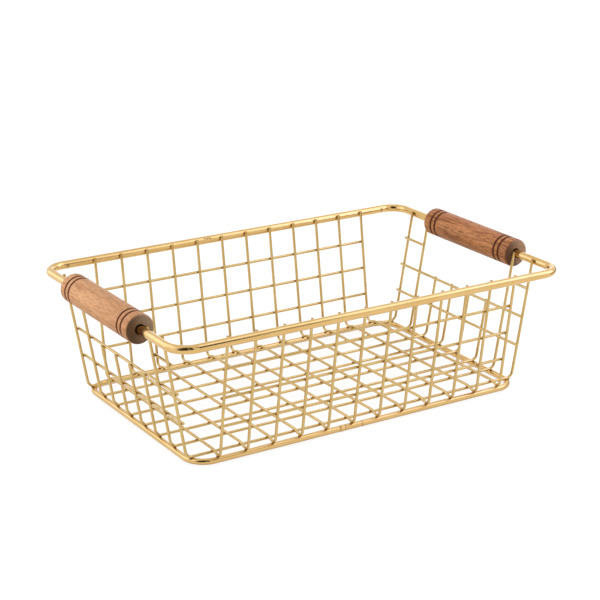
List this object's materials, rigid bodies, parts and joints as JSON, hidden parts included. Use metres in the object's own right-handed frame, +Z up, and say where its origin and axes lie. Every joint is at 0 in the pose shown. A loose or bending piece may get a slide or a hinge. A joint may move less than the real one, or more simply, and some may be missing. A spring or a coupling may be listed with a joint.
{
  "type": "wire basket",
  "caption": "Open rectangular basket of welded gold-coloured steel wire with flared mesh walls, a thick rim, a base ring and turned wooden handles that spin on the rim.",
  "frame": {"origin": "on the ground, below the middle of the basket", "axes": "+X along the basket towards the right handle, +Y across it towards the back long wall, +Z up"},
  "size_m": [0.3906, 0.245, 0.1197],
  "materials": {
    "gold_rim": "polished gold-coloured plating on drawn stainless steel wire of 5 to 7 mm",
    "gold_wire": "satin to bright gold-coloured plating on 2.4 mm stainless steel wire, darker at the welds",
    "pale_wood": "sanded and lightly oiled turned hardwood, pale peach brown, with burnt grooves",
    "red_wood": "sanded and lightly oiled turned hardwood, red brown, with burnt grooves"
  },
  "bodies": {
    "basket": {"top_rim": "gold_rim", "base_ring_left": "gold_rim", "base_ring_right": "gold_rim", "cross_wire_01": "gold_wire", "cross_wire_02": "gold_wire", "cross_wire_03": "gold_wire", "cross_wire_04": "gold_wire", "cross_wire_05": "gold_wire", "cross_wire_06": "gold_wire", "cross_wire_07": "gold_wire", "cross_wire_08": "gold_wire", "cross_wire_09": "gold_wire", "cross_wire_10": "gold_wire", "cross_wire_11": "gold_wire", "cross_wire_12": "gold_wire", "long_wire_1": "gold_wire", "long_wire_2": "gold_wire", "long_wire_3": "gold_wire", "long_wire_4": "gold_wire", "long_wire_5": "gold_wire", "long_wire_6": "gold_wire", "long_wire_7": "gold_wire", "long_wire_8": "gold_wire", "front_rail_low": "gold_wire", "front_rail_middle": "gold_wire", "front_rail_top": "gold_wire", "back_rail_low": "gold_wire", "back_rail_middle": "gold_wire", "back_rail_top": "gold_wire", "left_rail_low": "gold_wire", "left_rail_middle": "gold_wire", "right_rail_low": "gold_wire", "right_rail_middle": "gold_wire", "left_stub_front": "gold_wire", "left_stub_back": "gold_wire", "right_stub_front": "gold_wire", "right_stub_back": "gold_wire"},
    "left_handle": {"left_handle": "pale_wood"},
    "right_handle": {"right_handle": "red_wood"}
  },
  "joints": [
    {"name": "left_handle_spin", "type": "hinge", "parent": "basket", "child": "left_handle", "pos_m": [-0.183, 0, 0.1075], "axis": [0, 1, 0], "continuous": true},
    {"name": "right_handle_spin", "type": "hinge", "parent": "basket", "child": "right_handle", "pos_m": [0.183, 0, 0.1075], "axis": [0, 1, 0], "continuous": true}
  ]
}
